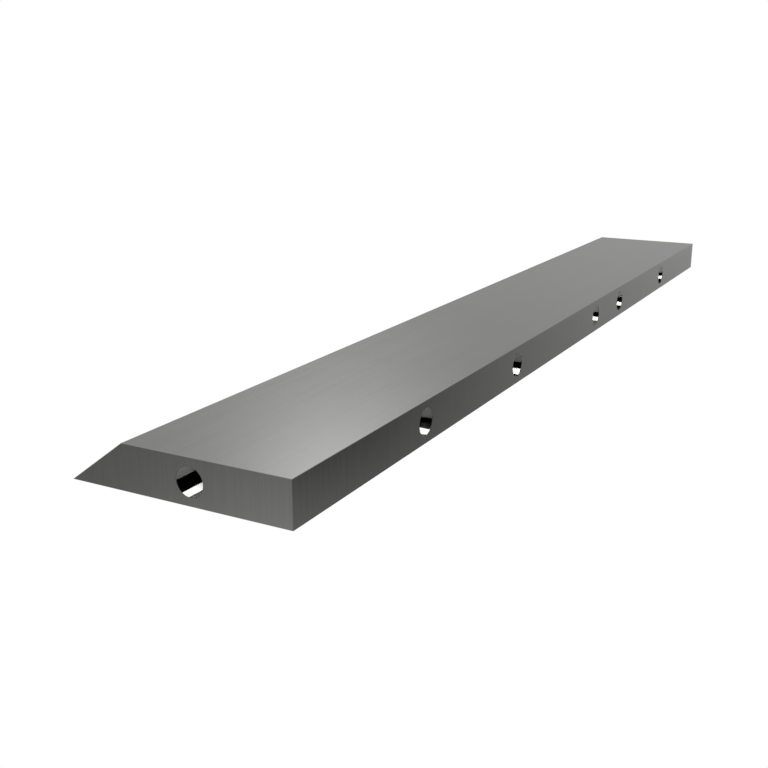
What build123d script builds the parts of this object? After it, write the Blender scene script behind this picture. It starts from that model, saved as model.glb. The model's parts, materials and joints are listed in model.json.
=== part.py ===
# Granulator stator knife: one ground steel bar, clamped in the granulator's housing so that the
# rotor knives sweep past its cutting edge.
#
# The bar has a full-thickness bevel along one long side, which runs out to the cutting edge in
# the plane of the bottom face. The square long side opposite holds a row of blind screw holes
# at mid thickness, and the near end holds one more of the same size.
#
# Frame: +X runs along the length, with the drilled end at -X. +Y points to the cutting edge.
# +Z is up through the thickness. The origin is the middle of the full-width bottom face.
import os
from math import radians, tan

from build123d import *

# Bar, in millimetres
knife_length = 612.0
knife_width = 106.0
knife_thickness = 20.0

# Cutting side: how far the bevel reaches back from the cutting edge, across the width
bevel_run = 27.2

# Blind screw holes: one bore size and depth for all, with the angle of the drill's point
hole_diameter = 12.5
hole_depth = 35.0
drill_point_angle = 118.0

# Row of holes in the square long side: a pair towards each end, and an odd hole beside one
near_margin = 106.0
far_margin = 104.0
pair_pitch = 108.0
odd_hole_pitch = 52.0

# Edges and hole mouths are broken by this much, apart from the cutting edge
edge_break = 0.15
mouth_angle = 90.0

# Derived sizes
half_length = knife_length / 2
half_width = knife_width / 2
mid_height = knife_thickness / 2
hole_radius = hole_diameter / 2
drill_point_length = hole_radius / tan(radians(drill_point_angle / 2))

# The section's width at mid thickness, where the end hole sits halfway across
mid_height_width = knife_width - bevel_run / 2

# Places of the row's holes along X
near_outer = near_margin - half_length
near_inner = near_outer + pair_pitch
far_outer = half_length - far_margin
far_inner = far_outer - pair_pitch
odd_hole = far_inner - odd_hole_pitch
row_stations = [near_outer, near_inner, odd_hole, far_inner, far_outer]

# The square long side seen from outside, with its X along the length
square_side = Plane(origin=(0, -half_width, mid_height), x_dir=(1, 0, 0), z_dir=(0, -1, 0))

# The drilled end seen from outside, centred on the section at mid thickness
drilled_end = Plane(
    origin=(-half_length, mid_height_width / 2 - half_width, mid_height),
    x_dir=(0, -1, 0),
    z_dir=(-1, 0, 0),
)


def drill_blind_hole():
    """Drills one blind hole at each location: a broken mouth, a plain wall and a drill point."""
    CounterSinkHole(
        radius=hole_radius,
        counter_sink_radius=hole_radius + edge_break,
        depth=hole_depth,
        counter_sink_angle=mouth_angle,
    )
    with Locations((0, 0, -hole_depth)):
        Cone(
            bottom_radius=hole_radius,
            top_radius=0,
            height=drill_point_length,
            rotation=(180, 0, 0),
            align=(Align.CENTER, Align.CENTER, Align.MIN),
            mode=Mode.SUBTRACT,
        )


with BuildPart() as stator_knife:
    # The bar's section, with the bevel rising from the cutting edge to the top face
    with BuildSketch(Plane.YZ.offset(-half_length)):
        with BuildLine():
            Polyline(
                (-half_width, 0),
                (half_width, 0),
                (half_width - bevel_run, knife_thickness),
                (-half_width, knife_thickness),
                close=True,
            )
        make_face()
    extrude(amount=knife_length)

    # Every edge is broken but the cutting edge, which stays as sharp as it is ground
    cutting_edge = stator_knife.edges().sort_by(Axis.Y)[-1:]
    chamfer(stator_knife.edges() - cutting_edge, length=edge_break)

    with Locations(square_side):
        with Locations(*[(station, 0) for station in row_stations]):
            drill_blind_hole()

    with Locations(drilled_end):
        drill_blind_hole()

stator_knife.part.label = "stator_knife"

os.makedirs("parts", exist_ok=True)
export_step(stator_knife.part, "parts/stator_knife.step")
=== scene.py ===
"""The granulator stator knife as it looks: one bar of ground steel on a white studio floor.

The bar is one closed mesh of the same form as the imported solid, with finer bores and with a
finish for each kind of surface: ground along the length, ground across, drilled, and broken
edges. The bores have lamps of their own. Lengths are in metres and angles in degrees unless a
name says otherwise.
"""

import json
from math import atan, cos, pi, radians, sin, tan

import bmesh
import bpy
from mathutils import Matrix, Vector


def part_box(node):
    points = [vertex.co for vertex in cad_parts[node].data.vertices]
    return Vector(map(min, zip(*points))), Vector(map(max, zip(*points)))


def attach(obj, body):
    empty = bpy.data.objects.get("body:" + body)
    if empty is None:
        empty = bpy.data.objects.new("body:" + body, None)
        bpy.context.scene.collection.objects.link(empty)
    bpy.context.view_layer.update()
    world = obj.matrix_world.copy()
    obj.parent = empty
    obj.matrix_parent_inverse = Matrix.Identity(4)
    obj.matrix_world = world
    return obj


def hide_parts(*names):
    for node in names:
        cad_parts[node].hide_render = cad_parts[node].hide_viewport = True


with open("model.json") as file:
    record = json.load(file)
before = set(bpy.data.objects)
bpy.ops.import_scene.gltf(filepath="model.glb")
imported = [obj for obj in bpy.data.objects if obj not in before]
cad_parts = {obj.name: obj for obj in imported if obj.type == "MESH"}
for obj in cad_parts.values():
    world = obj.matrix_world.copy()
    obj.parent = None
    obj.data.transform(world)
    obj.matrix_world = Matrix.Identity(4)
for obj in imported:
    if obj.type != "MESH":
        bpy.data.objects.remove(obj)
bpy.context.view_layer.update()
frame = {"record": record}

MM = 0.001
MICRON = MM / 1000

# The bar's sizes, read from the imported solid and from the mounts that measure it. The clamp face
# is the flat of the top, so its middle lies half a bevel run behind the bar's. A screw's place is
# the middle of its bore's first ring, just inside the broken mouth.
NODE = "stator_knife"
low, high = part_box(NODE)
mounts = {mount["name"]: mount for mount in frame["record"]["mounts"]}
screws = [mount for mount in mounts.values() if mount["kind"] == "threaded_hole"]
bevel_run = -2 * mounts["clamp_face"]["pos_m"][1]
edge_break = mounts["back_screw_1"]["pos_m"][1] - low.y
bore_radius = mounts["back_screw_1"]["dims"]["r_mm"] * MM
DRILL_POINT = 118

# Facets of the bores, and the least turn of a crisp edge: more than a facet of a bore turns, and
# less than the broken edge along the top of the bevel
BORE_SEGMENTS = 96
WALL_RINGS = 10
CRISP_TURN = 10

# Finishes, in the order of the mesh's material slots
LENGTHWISE, CROSSWISE, ROW_BORE, END_BORE, BROKEN_EDGE, MOUTH = range(6)

# The section's corners in Y and Z, anticlockwise seen from +X. Each side starts at the corner of
# its own number. The cutting edge stays sharp, and the rear side is drilled.
SECTION = [
    Vector((low.y, low.z)),
    Vector((high.y, low.z)),
    Vector((high.y - bevel_run, high.z)),
    Vector((low.y, high.z)),
]
CUTTING_EDGE = 1
REAR_SIDE = 3


def setback(corner):
    """How far the faces stop short of a long edge of the section."""
    return 0.0 if corner % len(SECTION) == CUTTING_EDGE else edge_break


def side_ends(side):
    """The ends of one side of the section, between its broken edges."""
    start, end = SECTION[side], SECTION[(side + 1) % len(SECTION)]
    along = (end - start).normalized()
    return start + along * setback(side), end - along * setback(side + 1)


def end_face_corner(corner):
    """A corner of the end faces, which stop short of all four sides of the section."""
    into = (SECTION[corner] - SECTION[corner - 1]).normalized()
    out = (SECTION[(corner + 1) % len(SECTION)] - SECTION[corner]).normalized()
    half_turn = into.angle(out) / 2
    inward = Vector((-into.y - out.y, into.x + out.x)).normalized()
    return SECTION[corner] + inward * edge_break / cos(half_turn)


def build_bar(mesh):
    """The bar's flat faces and broken edges. The drilled faces are left open."""
    middle = (low.x + high.x) / 2
    half_length = (high.x - low.x) / 2
    sides = range(len(SECTION))
    starts, ends, corners = {}, {}, {}
    for way in (-1, 1):
        shoulder = middle + way * (half_length - edge_break)
        for side in sides:
            first, last = side_ends(side)
            if side == CUTTING_EDGE:
                starts[way, side] = ends[way, side - 1]
            else:
                starts[way, side] = mesh.verts.new((shoulder, *first))
            ends[way, side] = mesh.verts.new((shoulder, *last))
            at_end = (middle + way * half_length, *end_face_corner(side))
            corners[way, side] = mesh.verts.new(at_end)

    def face(finish, *verts):
        mesh.faces.new(verts).material_index = finish

    for side in sides:
        before, after = (side - 1) % len(SECTION), (side + 1) % len(SECTION)
        if side != REAR_SIDE:
            face(LENGTHWISE, starts[-1, side], starts[1, side], ends[1, side], ends[-1, side])
        for way in (-1, 1):
            start, end = starts[way, side], ends[way, side]
            face(BROKEN_EDGE, start, end, corners[way, after], corners[way, side])
        if side != CUTTING_EDGE:
            face(BROKEN_EDGE, ends[-1, before], ends[1, before], starts[1, side], starts[-1, side])
            for way in (-1, 1):
                face(BROKEN_EDGE, ends[way, before], starts[way, side], corners[way, side])
    face(CROSSWISE, *(corners[1, side] for side in sides))


def build_bore(mesh, mouth, inward, length, finish):
    """One blind hole: a broken mouth in the face, a plain wall and the drill's point."""
    turn = inward.to_track_quat("Z", "Y").to_matrix()
    point_length = bore_radius / tan(radians(DRILL_POINT) / 2)

    def vert(x, y, depth):
        return mesh.verts.new(mouth + turn @ Vector((x, y, depth)))

    def ring(radius, depth):
        angles = [2 * pi * step / BORE_SEGMENTS for step in range(BORE_SEGMENTS)]
        return [vert(radius * cos(angle), radius * sin(angle), depth) for angle in angles]

    depths = [edge_break + length * step / WALL_RINGS for step in range(WALL_RINGS + 1)]
    rings = [ring(bore_radius + edge_break, 0)] + [ring(bore_radius, depth) for depth in depths]
    tip = vert(0, 0, depths[-1] + point_length)
    for step in range(BORE_SEGMENTS):
        near = (step + 1) % BORE_SEGMENTS
        for outer, inner in zip(rings, rings[1:]):
            wall = mesh.faces.new((outer[step], outer[near], inner[near], inner[step]))
            wall.material_index = MOUTH if outer is rings[0] else finish
        mesh.faces.new((rings[-1][step], rings[-1][near], tip)).material_index = finish


def close_drilled_face(mesh, axis, level):
    """Fills a flat face around the hole mouths that lie in it."""
    tolerance = edge_break / 100

    def on_face(edge):
        return all(abs(vert.co[axis] - level) < tolerance for vert in edge.verts)

    rim = [edge for edge in mesh.edges if edge.is_boundary and on_face(edge)]
    filled = bmesh.ops.triangle_fill(mesh, use_beauty=True, edges=rim)
    for item in filled["geom"]:
        if isinstance(item, bmesh.types.BMFace):
            item.material_index = CROSSWISE


def build_knife(materials):
    """The whole knife as one closed mesh with a finish for each kind of surface."""
    mesh = bmesh.new()
    build_bar(mesh)
    for screw in screws:
        inward = -Vector(screw["axis"])
        mouth = Vector(screw["pos_m"]) - inward * edge_break
        finish = END_BORE if abs(inward.x) > abs(inward.y) else ROW_BORE
        build_bore(mesh, mouth, inward, screw["dims"]["length_mm"] * MM, finish)
    close_drilled_face(mesh, axis=1, level=low.y)
    close_drilled_face(mesh, axis=0, level=low.x)
    bmesh.ops.recalc_face_normals(mesh, faces=mesh.faces)

    data = bpy.data.meshes.new("stator_knife_ground")
    mesh.to_mesh(data)
    mesh.free()
    data.shade_smooth()
    data.set_sharp_from_angle(angle=radians(CRISP_TURN))
    for material in materials:
        data.materials.append(material)
    knife = bpy.data.objects.new("stator_knife_ground", data)
    bpy.context.scene.collection.objects.link(knife)
    return knife


# Materials

STEEL_COLOUR = (0.46, 0.46, 0.45)

# Cells of noise in a metre across the strokes, from the finest lines to soft clouds
HAIRLINES = 5200
STROKES = 1100
PASSES = 170
CLOUDS = 22

# How far each of them sways the shade and the roughness to either side, and how high a stroke
# stands where a hairline is 1 high
STROKE_SHADE = 0.025
PASS_SHADE = 0.012
CLOUD_SHADE = 0.012
HAIRLINE_GRAIN = 0.012
STROKE_GRAIN = 0.008
CLOUD_GRAIN = 0.006
STROKE_HEIGHT = 1.5

# Painted shade that darkens a bore with depth: from where, over what length, and to what share of
# its tone
PAINTED_SHADE_FROM = bore_radius
PAINTED_SHADE_OVER = 2 * bore_radius
PAINTED_SHADE_TONE = 0.01


class Nodes:
    """A few words for building a node tree."""

    def __init__(self, tree):
        self.tree = tree
        tree.nodes.clear()

    def add(self, kind, inputs=(), **settings):
        """Adds a node, sets its fields, and sets or links its inputs by name or number."""
        node = self.tree.nodes.new(kind)
        for name, value in settings.items():
            setattr(node, name, value)
        for name, value in dict(inputs).items():
            if isinstance(value, bpy.types.NodeSocket):
                self.tree.links.new(value, node.inputs[name])
            else:
                node.inputs[name].default_value = value
        return node

    def math(self, operation, *values):
        """A Math node's result."""
        return self.add("ShaderNodeMath", dict(enumerate(values)), operation=operation).outputs[0]

    def noise(self, place, scale, detail=2.0):
        """Noise about 0.5, nearly all of it between 0.3 and 0.7."""
        inputs = {"Vector": place, "Scale": scale, "Detail": detail}
        return self.add("ShaderNodeTexNoise", inputs).outputs["Fac"]

    def spread(self, value, low_to, high_to, low_from=0.3, high_from=0.7):
        """The value mapped from one range to another, and kept inside it."""
        inputs = {0: value, 1: low_from, 2: high_from, 3: low_to, 4: high_to}
        return self.add("ShaderNodeMapRange", inputs, clamp=True).outputs[0]

    def around(self, value, middle, swing):
        """The noise as a value that wanders to either side of a middle one."""
        return self.spread(value, middle - swing, middle + swing)


def steel(name, strokes, roughness, line_depth, unevenness=1.0, tone=1.0, metallic=1.0, shine=0.5,
          mouth=None):
    """Steel with the parallel lines of its last cut.

    strokes says, for each axis, how many times longer a line is that way than it is wide.
    unevenness scales how much the roughness wanders, and tone darkens the metal. mouth, for a bore
    with painted shade that darkens it with depth, holds the axis it runs along and where on that
    axis it begins.
    """
    material = bpy.data.materials.new(name)
    material.use_nodes = True
    nodes = Nodes(material.node_tree)
    place = nodes.add("ShaderNodeTexCoord").outputs["Object"]
    squeeze = {0: place, 1: [1 / length for length in strokes]}
    along = nodes.add("ShaderNodeVectorMath", squeeze, operation="MULTIPLY").outputs[0]

    hairline = nodes.noise(along, HAIRLINES, detail=3)
    stroke = nodes.noise(along, STROKES)
    pass_mark = nodes.noise(along, PASSES, detail=1)
    cloud = nodes.noise(place, CLOUDS, detail=3)

    shade = nodes.around(stroke, 1.0, STROKE_SHADE)
    shade = nodes.math("MULTIPLY", shade, nodes.around(pass_mark, 1.0, PASS_SHADE))
    shade = nodes.math("MULTIPLY", shade, nodes.around(cloud, tone, CLOUD_SHADE * tone))
    # Painted shade: the bore's colour darkens from its mouth inward, standing in for the shade in
    # its depths
    if mouth:
        axis, start = mouth
        parts = nodes.add("ShaderNodeSeparateXYZ", {0: place}).outputs
        depth = nodes.math("SUBTRACT", parts[axis], start)
        painted_shade_ramp = {0: depth, 1: PAINTED_SHADE_FROM, 2: PAINTED_SHADE_FROM + PAINTED_SHADE_OVER, 3: 1.0, 4: PAINTED_SHADE_TONE}
        painted_shade = nodes.add("ShaderNodeMapRange", painted_shade_ramp, interpolation_type="SMOOTHSTEP")
        shade = nodes.math("MULTIPLY", shade, painted_shade.outputs[0])
    tint = {0: STEEL_COLOUR, "Scale": shade}
    colour = nodes.add("ShaderNodeVectorMath", tint, operation="SCALE").outputs[0]

    grain = nodes.around(hairline, roughness, HAIRLINE_GRAIN * unevenness)
    grain = nodes.math("ADD", grain, nodes.around(stroke, 0.0, STROKE_GRAIN * unevenness))
    grain = nodes.math("ADD", grain, nodes.around(cloud, 0.0, CLOUD_GRAIN * unevenness))

    height = nodes.math("ADD", hairline, nodes.math("MULTIPLY", stroke, STROKE_HEIGHT))
    bump = nodes.add("ShaderNodeBump", {"Distance": line_depth, "Height": height})
    shader = nodes.add("ShaderNodeBsdfPrincipled", {
        "Base Color": colour,
        "Metallic": metallic,
        "Roughness": grain,
        "Specular IOR Level": shine,
        "Normal": bump.outputs[0],
    })
    nodes.add("ShaderNodeOutputMaterial", {"Surface": shader.outputs[0]})
    return material


def knife_materials():
    """The knife's finishes, in the order of the mesh's material slots.

    The bores keep the dark, dull skin of the drill and its oil, and have painted shade that
    darkens them in their depths.
    The broken edges are burnished.
    """
    ground = {"roughness": 0.2, "line_depth": MICRON}
    dull = {"roughness": 0.5, "line_depth": MICRON, "tone": 0.3, "metallic": 0.0, "shine": 0.1}
    burnished = {"roughness": 0.06, "line_depth": 0.1 * MICRON, "unevenness": 0.3}
    deburred = {"roughness": 0.3, "line_depth": 0.5 * MICRON, "tone": 0.4}
    return [
        steel("ground_lengthwise", (90, 1, 1), **ground),
        steel("ground_crosswise", (1, 1, 60), **ground),
        steel("drilled_row_bore", (60, 1, 60), mouth=("Y", low.y), **dull),
        steel("drilled_end_bore", (1, 60, 60), mouth=("X", low.x), **dull),
        steel("broken_edge", (3, 3, 3), **burnished),
        steel("deburred_mouth", (3, 3, 3), **deburred),
    ]


# Studio

# The surroundings that the steel reflects, in round numbers. Their brightness goes by elevation,
# the
# same all round, with soft patches added: azimuth from +X, elevation, width and strength. A patch
# of negative strength is a dark cloth.
SKY_PROFILE = (
    (-90, 0.5),
    (-40, 0.35),
    (-20, 0.15),
    (-10, 0.15),
    (5, 0.35),
    (30, 0.4),
    (90, 0.9),
)
SKY_PATCHES = (
    (31, 25, 4, 1.1),
    (30, 15, 8, -0.1),
    (-12, 0, 8, 0.3),
    (145, -30, 5, 0.4),
    (25, -35, 25, 0.4),
    (-35, -13, 5, -0.6),
)

# Small spot lamps that only dull surfaces take, so they light the bores and leave no glare on the
# ground steel. Each throws one band of light on the wall of its bore, from one angle round it down
# to another: 90 is the roof of the bore, 0 is level with its axis on the side away from the
# camera, and -90 is its floor. Bore, the two angles, and the power in milliwatts.
BAND_LAMPS = (
    ("end_screw", 85, -3, 320),
    ("end_screw", -53, -84, 2700),
    ("end_screw", -86, -140, 270),
    ("back_screw_1", 85, -2, 250),
    ("back_screw_1", -25, -47, 50),
    ("back_screw_1", -48, -84, 2700),
    ("back_screw_2", 85, -2, 250),
    ("back_screw_2", -34, -71, 2700),
    ("back_screw_3", 85, 8, 360),
    ("back_screw_3", -19, -44, 2700),
    ("back_screw_3", -47, -100, 270),
    ("back_screw_4", 85, 10, 400),
    ("back_screw_4", -19, -42, 2700),
    ("back_screw_5", 85, 8, 460),
    ("back_screw_5", -14, -36, 2700),
)
MILLIWATT = 0.001

# How deep the middle of a band lies in its bore, how far the band reaches either way from there,
# and how far its lamp is from the axis of the bore
BAND_DEPTH = bore_radius
BAND_REACH = 4 * bore_radius
LAMP_DISTANCE = 14 * bore_radius

FLOOR_SIZE = 40
FLOOR_GAP = 0.05 * MM

# The camera that took the photograph, fitted to the knife's straight edges
CAMERA_PLACE = (-0.5905, -0.2450, 0.1556)
CAMERA_HEADING = 28.62
CAMERA_TILT = -16.43
LENS_MM = 48.9
SENSOR_MM = 36

UP = Vector((0, 0, 1))


def from_angles(azimuth, elevation):
    """The direction with that azimuth from +X and that elevation."""
    around, up = radians(azimuth), radians(elevation)
    return Vector((cos(up) * cos(around), cos(up) * sin(around), sin(up)))


def build_world():
    """A white backdrop to the camera, and soft grey surroundings in what the steel reflects.

    Dull surfaces, which are the bores, take no light from them.
    """
    world = bpy.data.worlds.new("studio")
    bpy.context.scene.world = world
    world.use_nodes = True
    nodes = Nodes(world.node_tree)
    way = nodes.add("ShaderNodeTexCoord").outputs["Generated"]
    height = nodes.add("ShaderNodeSeparateXYZ", {0: way}).outputs["Z"]
    angle = nodes.math("MULTIPLY", nodes.math("ARCSINE", height), 180 / pi)
    level = SKY_PROFILE[0][1]
    for (low_angle, low_level), (high_angle, high_level) in zip(SKY_PROFILE, SKY_PROFILE[1:]):
        step = nodes.spread(angle, 0.0, high_level - low_level, low_angle, high_angle)
        level = nodes.math("ADD", level, step)
    for azimuth, elevation, width, strength in SKY_PATCHES:
        aim = {0: way, 1: from_angles(azimuth, elevation)}
        facing = nodes.add("ShaderNodeVectorMath", aim, operation="DOT_PRODUCT").outputs["Value"]
        sharpness = 1 / radians(width) ** 2
        falloff = nodes.math("MULTIPLY", nodes.math("SUBTRACT", facing, 1.0), sharpness)
        patch = nodes.math("MULTIPLY", nodes.math("EXPONENT", falloff), strength)
        level = nodes.math("ADD", level, patch)
    level = nodes.math("MAXIMUM", level, 0.0)
    seen = nodes.add("ShaderNodeLightPath").outputs["Is Camera Ray"]
    level = nodes.add("ShaderNodeMix", {"Factor": seen, "A": level, "B": 1.0}).outputs["Result"]
    background = nodes.add("ShaderNodeBackground", {"Color": (1, 1, 1, 1), "Strength": level})
    nodes.add("ShaderNodeOutputWorld", {"Surface": background.outputs[0]})
    world.cycles_visibility.diffuse = False
    world.cycles.sampling_method = "NONE"


def build_lamps():
    """The lamps that light the bores.

    Each stands on the far side of the axis from its band and looks straight across the bore. Its
    cone is squeezed to the band's width, and stays long along the bore.
    """
    for number, (bore, first, last, power) in enumerate(BAND_LAMPS):
        inward = -Vector(mounts[bore]["axis"])
        away = Vector((inward.y, inward.x, 0))
        middle, half = radians(first + last) / 2, radians(first - last) / 2
        to_lamp = -away * cos(middle) - UP * sin(middle)
        centre = Vector(mounts[bore]["pos_m"]) + inward * BAND_DEPTH + to_lamp * LAMP_DISTANCE
        across = bore_radius * sin(half) / (LAMP_DISTANCE + bore_radius * cos(half))
        along = BAND_REACH / LAMP_DISTANCE

        name = f"lamp_{bore}_{number}"
        light = bpy.data.lights.new(name, "SPOT")
        light.energy = power * MILLIWATT
        light.spot_size = 2 * atan(along)
        light.spot_blend = 0
        light.shadow_soft_size = 0
        lamp = bpy.data.objects.new(name, light)
        lamp.visible_camera = False
        lamp.visible_glossy = False
        turn = Matrix((inward.cross(to_lamp), inward, to_lamp)).transposed().to_4x4()
        squeeze = Matrix.Diagonal((across / along, 1, 1, 1))
        lamp.matrix_world = Matrix.Translation(centre) @ turn @ squeeze
        bpy.context.scene.collection.objects.link(lamp)


def build_floor():
    """A wide floor just under the bar, which glows white and which the camera alone sees."""
    bpy.ops.mesh.primitive_plane_add(size=FLOOR_SIZE, location=(0, 0, low.z - FLOOR_GAP))
    floor = bpy.context.object
    floor.name = "studio_floor"
    material = bpy.data.materials.new("studio_floor")
    material.use_nodes = True
    nodes = Nodes(material.node_tree)
    glow = nodes.add("ShaderNodeEmission", {"Color": (1, 1, 1, 1), "Strength": 1.0})
    nodes.add("ShaderNodeOutputMaterial", {"Surface": glow.outputs[0]})
    floor.data.materials.append(material)
    floor.visible_diffuse = False
    floor.visible_glossy = False
    floor.visible_shadow = False


def build_camera():
    """The photograph's view: from above the drilled end's rear corner, along the bar."""
    data = bpy.data.cameras.new("camera")
    data.sensor_width = SENSOR_MM
    data.lens = LENS_MM
    camera = bpy.data.objects.new("camera", data)
    camera.location = CAMERA_PLACE
    camera.rotation_mode = "QUATERNION"
    camera.rotation_quaternion = from_angles(CAMERA_HEADING, CAMERA_TILT).to_track_quat("-Z", "Y")
    bpy.context.scene.collection.objects.link(camera)
    bpy.context.scene.camera = camera


build_camera()
build_world()
build_lamps()
build_floor()
knife = build_knife(knife_materials())

# The lamps shine through the steel, so that each band runs straight along its bore, and the bores
# take no light from their own walls
knife.visible_shadow = False
knife.visible_diffuse = False

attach(knife, "root")
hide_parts(NODE)
bpy.context.scene.view_settings.view_transform = "Standard"
